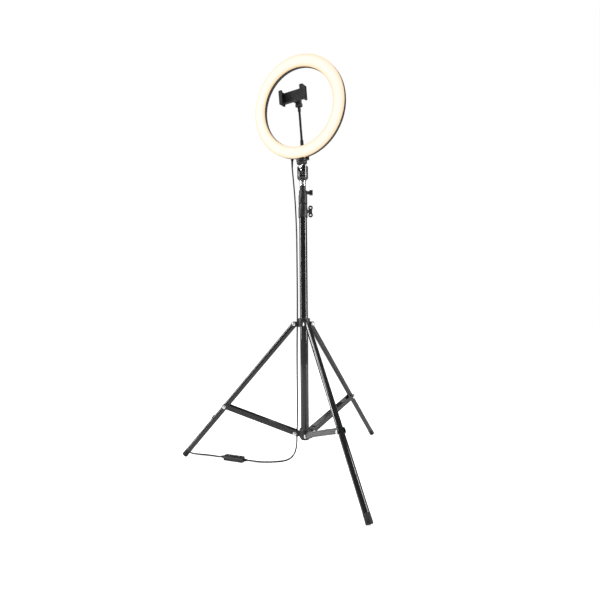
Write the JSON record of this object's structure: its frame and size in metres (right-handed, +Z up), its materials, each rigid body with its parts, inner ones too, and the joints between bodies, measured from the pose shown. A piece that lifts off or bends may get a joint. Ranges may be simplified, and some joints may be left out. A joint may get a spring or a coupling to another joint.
{
  "type": "ring light on stand",
  "caption": "Ring light with a ball head and gooseneck phone clip on a telescoping folding-leg stand, with a lead, inline control and USB plug.",
  "frame": {"origin": "on the floor, midway between the outermost edges of the three feet, without the lead", "axes": "+Z up along the column; the ring faces -Y; +X to the right of someone facing the ring's front from -Y"},
  "size_m": [0.7356, 0.5236, 1.0189],
  "materials": {
    "black_paint": "glossy black enamel",
    "black_plastic": "satin moulded plastic",
    "gloss_black": "gloss moulded plastic",
    "shell_plastic": "fine matte texture",
    "diffuser": "milky translucent lens",
    "board_white": "white solder mask",
    "led": "phosphor",
    "chrome": "polished",
    "steel": "zinc plated",
    "brass": "turned",
    "rubber": "matte",
    "bush_plastic": "natural acetal",
    "spring_steel": "wire",
    "cord_jacket": "PVC jacket"
  },
  "bodies": {
    "column": {"outer_tube": "black_paint", "lower_collar": "black_plastic", "lower_hub": "black_plastic", "column_end_cap": "black_plastic", "strut_pins": "steel", "cord_lower": "cord_jacket", "cord_tail": "cord_jacket", "control_base": "black_plastic", "control_cover": "gloss_black", "control_reliefs": "cord_jacket", "usb_plug": "black_plastic"},
    "middle_section": {"middle_tube": "black_paint", "middle_bush": "bush_plastic", "upper_collar": "black_plastic", "cord_middle": "cord_jacket"},
    "inner_section": {"inner_tube": "black_paint", "inner_bush": "bush_plastic", "tube_cap": "black_plastic", "spigot": "chrome", "cord_inner": "cord_jacket"},
    "lower_wing": {"lower_wing_knob": "black_plastic"},
    "upper_knob": {"upper_knob": "black_plastic"},
    "ball_head": {"ball_housing": "gloss_black", "ball_cup": "brass"},
    "ball_lock": {"ball_lock_knob": "black_plastic"},
    "ball": {"ball_stem": "chrome"},
    "platform_wheel": {"platform_wheel": "black_plastic"},
    "ring": {"platform_disc": "black_plastic", "ring_bracket": "black_paint", "bracket_screws": "steel", "ring_shell": "shell_plastic", "ring_diffuser": "diffuser", "led_board": "board_white", "led_chips": "led", "shell_screws": "steel", "cord_gland": "cord_jacket", "neck_lower": "rubber"},
    "neck_mid": {"neck_middle": "rubber"},
    "neck_end": {"neck_upper": "rubber"},
    "neck_swivel": {"neck_ball": "black_plastic"},
    "clip": {"clip_nut": "black_plastic", "clip_body": "black_plastic", "clip_fixed_pad": "rubber", "clip_spring": "spring_steel"},
    "jaw": {"clip_jaw": "black_plastic", "clip_jaw_pad": "rubber"},
    "leg_slider": {"leg_hub": "black_plastic", "leg_pins": "steel"},
    "hub_clamp": {"hub_knob": "black_plastic"},
    "leg_a": {"leg_1": "black_paint", "foot_1": "rubber"},
    "leg_b": {"leg_2": "black_paint", "foot_2": "rubber"},
    "leg_c": {"leg_3": "black_paint", "foot_3": "rubber"},
    "brace_a": {"strut_1": "black_paint"},
    "brace_b": {"strut_2": "black_paint"},
    "brace_c": {"strut_3": "black_paint"},
    "power_button": {"button_power": "gloss_black"},
    "level_button": {"button_level": "gloss_black"}
  },
  "joints": [
    {"name": "leg_fold", "type": "slide", "parent": "column", "child": "leg_slider", "axis": [0, 0, 1], "range_m": [0, 0.19974]},
    {"name": "leg_a_hinge", "type": "hinge", "parent": "leg_slider", "child": "leg_a", "pos_m": [0.03698, -0.02409, 0.332], "axis": [-0.9781, 0.2079, 0], "range_deg": [0, 41.11]},
    {"name": "brace_a_hinge", "type": "hinge", "parent": "column", "child": "brace_a", "pos_m": [0.03698, -0.02409, 0.069], "axis": [-0.9781, 0.2079, 0], "range_deg": [-72.49, 0]},
    {"name": "leg_b_hinge", "type": "hinge", "parent": "leg_slider", "child": "leg_b", "pos_m": [0.00917, -0.05498, 0.332], "axis": [0.309, -0.9511, 0], "range_deg": [0, 41.11]},
    {"name": "brace_b_hinge", "type": "hinge", "parent": "column", "child": "brace_b", "pos_m": [0.00917, -0.05498, 0.069], "axis": [0.309, -0.9511, 0], "range_deg": [-72.49, 0]},
    {"name": "leg_c_hinge", "type": "hinge", "parent": "leg_slider", "child": "leg_c", "pos_m": [0.04983, -0.06363, 0.332], "axis": [0.6691, 0.7431, 0], "range_deg": [0, 41.11]},
    {"name": "brace_c_hinge", "type": "hinge", "parent": "column", "child": "brace_c", "pos_m": [0.04983, -0.06363, 0.069], "axis": [0.6691, 0.7431, 0], "range_deg": [-72.49, 0]},
    {"name": "hub_clamp_turn", "type": "hinge", "parent": "leg_slider", "child": "hub_clamp", "pos_m": [0.02052, -0.03118, 0.339], "axis": [-0.5736, 0.8192, 0], "range_deg": [0, 270]},
    {"name": "lower_extension", "type": "slide", "parent": "column", "child": "middle_section", "axis": [0, 0, 1], "range_m": [0, 0.4]},
    {"name": "lower_wing_turn", "type": "hinge", "parent": "column", "child": "lower_wing", "pos_m": [0.04524, -0.04052, 0.6186], "axis": [0.8829, 0.4695, 0], "range_deg": [0, 270]},
    {"name": "upper_extension", "type": "slide", "parent": "middle_section", "child": "inner_section", "axis": [0, 0, 1], "range_m": [0, 0.4]},
    {"name": "upper_knob_turn", "type": "hinge", "parent": "middle_section", "child": "upper_knob", "pos_m": [0.04435, -0.04099, 0.668], "axis": [0.8829, 0.4695, 0], "range_deg": [0, 270]},
    {"name": "head_pan", "type": "hinge", "parent": "inner_section", "child": "ball_head", "pos_m": [0.03199, -0.04757, 0.71], "axis": [0, 0, 1], "range_deg": [-90, 90]},
    {"name": "ball_lock_turn", "type": "hinge", "parent": "ball_head", "child": "ball_lock", "pos_m": [0.02448, -0.03344, 0.7146], "axis": [-0.4695, 0.8829, 0], "range_deg": [0, 270]},
    {"name": "ring_tilt", "type": "hinge", "parent": "ball_head", "child": "ball", "pos_m": [0.03199, -0.04757, 0.7236], "axis": [1, 0, 0], "range_deg": [-38, 80]},
    {"name": "platform_wheel_turn", "type": "hinge", "parent": "ball", "child": "platform_wheel", "pos_m": [0.03199, -0.05101, 0.74634], "axis": [0, -0.1495, 0.9888], "range_deg": [0, 270]},
    {"name": "ring_swivel", "type": "hinge", "parent": "ball", "child": "ring", "pos_m": [0.03199, -0.05205, 0.75326], "axis": [0, -0.1495, 0.9888], "range_deg": [-90, 90]},
    {"name": "neck_bend_fore", "type": "hinge", "parent": "ring", "child": "neck_mid", "pos_m": [0.03199, -0.05295, 0.81937], "axis": [1, 0, 0], "range_deg": [-30, 30]},
    {"name": "neck_bend_side", "type": "hinge", "parent": "neck_mid", "child": "neck_end", "pos_m": [0.03199, -0.05818, 0.85398], "axis": [0, 0.9888, 0.1495], "range_deg": [-30, 30]},
    {"name": "clip_turn", "type": "hinge", "parent": "neck_end", "child": "neck_swivel", "pos_m": [0.03199, -0.06237, 0.88166], "axis": [0, -0.1495, 0.9888], "range_deg": [-90, 90]},
    {"name": "clip_tilt", "type": "hinge", "parent": "neck_swivel", "child": "clip", "pos_m": [0.03199, -0.06499, 0.89897], "axis": [1, 0, 0], "range_deg": [-28, 28]},
    {"name": "jaw_open", "type": "slide", "parent": "clip", "child": "jaw", "axis": [1, 0, 0], "range_m": [0, 0.025], "stiffness_N_per_m": 300, "springref_m": -0.01, "deforming": ["clip_spring"]},
    {"name": "power_press", "type": "slide", "parent": "column", "child": "power_button", "axis": [0, 0, -1], "range_m": [0, 0.0008], "stiffness_N_per_m": 500, "springref_m": -0.0005},
    {"name": "level_press", "type": "slide", "parent": "column", "child": "level_button", "axis": [0, 0, -1], "range_m": [0, 0.0008], "stiffness_N_per_m": 500, "springref_m": -0.0005}
  ],
  "couplings": [
    {"joint": "leg_a_hinge", "follows": "leg_fold", "rad_per_m": 3.5909},
    {"joint": "brace_a_hinge", "follows": "leg_fold", "rad_per_m": -6.3335},
    {"joint": "leg_b_hinge", "follows": "leg_fold", "rad_per_m": 3.5909},
    {"joint": "brace_b_hinge", "follows": "leg_fold", "rad_per_m": -6.3335},
    {"joint": "leg_c_hinge", "follows": "leg_fold", "rad_per_m": 3.5909},
    {"joint": "brace_c_hinge", "follows": "leg_fold", "rad_per_m": -6.3335}
  ]
}
